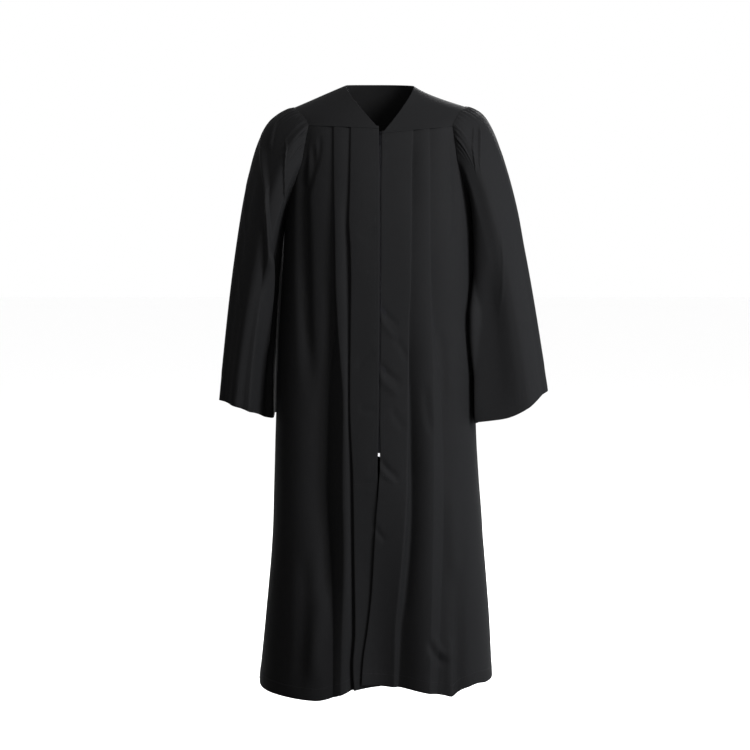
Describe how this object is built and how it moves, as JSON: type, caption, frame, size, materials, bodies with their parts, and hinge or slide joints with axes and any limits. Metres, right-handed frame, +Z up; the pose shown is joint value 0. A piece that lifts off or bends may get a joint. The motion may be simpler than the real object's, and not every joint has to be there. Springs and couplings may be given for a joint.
{
  "type": "graduation gown",
  "caption": "Black graduation gown as worn, hollow and open at neck, hem and cuffs, with pleated fronts and back, bell sleeves and a front zip.",
  "frame": {"origin": "on the body's axis, level with the points where the shoulder seams meet the neck; the wearer's shoulders and neck hold the gown here", "axes": "+Z up, -Y to the front of the gown, +X to the wearer's left, which is the viewer's right"},
  "size_m": [0.7264, 0.3476, 1.3308],
  "materials": {
    "gown_cloth": "matte black woven polyester",
    "zip_tape": "black woven tape and coil teeth",
    "dark_metal": "black lacquered slider and tab",
    "bright_metal": "bare bright metal"
  },
  "bodies": {
    "gown": {"yoke_front_right": "gown_cloth", "yoke_front_left": "gown_cloth", "yoke_back": "gown_cloth", "front_right": "gown_cloth", "front_left": "gown_cloth", "back": "gown_cloth", "sleeve_right": "gown_cloth", "sleeve_left": "gown_cloth", "zip_tape_right": "zip_tape", "zip_tape_left": "zip_tape", "zip_chain": "zip_tape", "zip_slider": "dark_metal", "zip_stop": "bright_metal"},
    "pull_tab": {"zip_pull_tab": "dark_metal"}
  },
  "joints": [
    {"name": "pull_tab_swing", "type": "hinge", "parent": "gown", "child": "pull_tab", "pos_m": [-0.002, -0.11587, -0.111], "axis": [-1, 0, 0], "range_deg": [0, 150]}
  ]
}
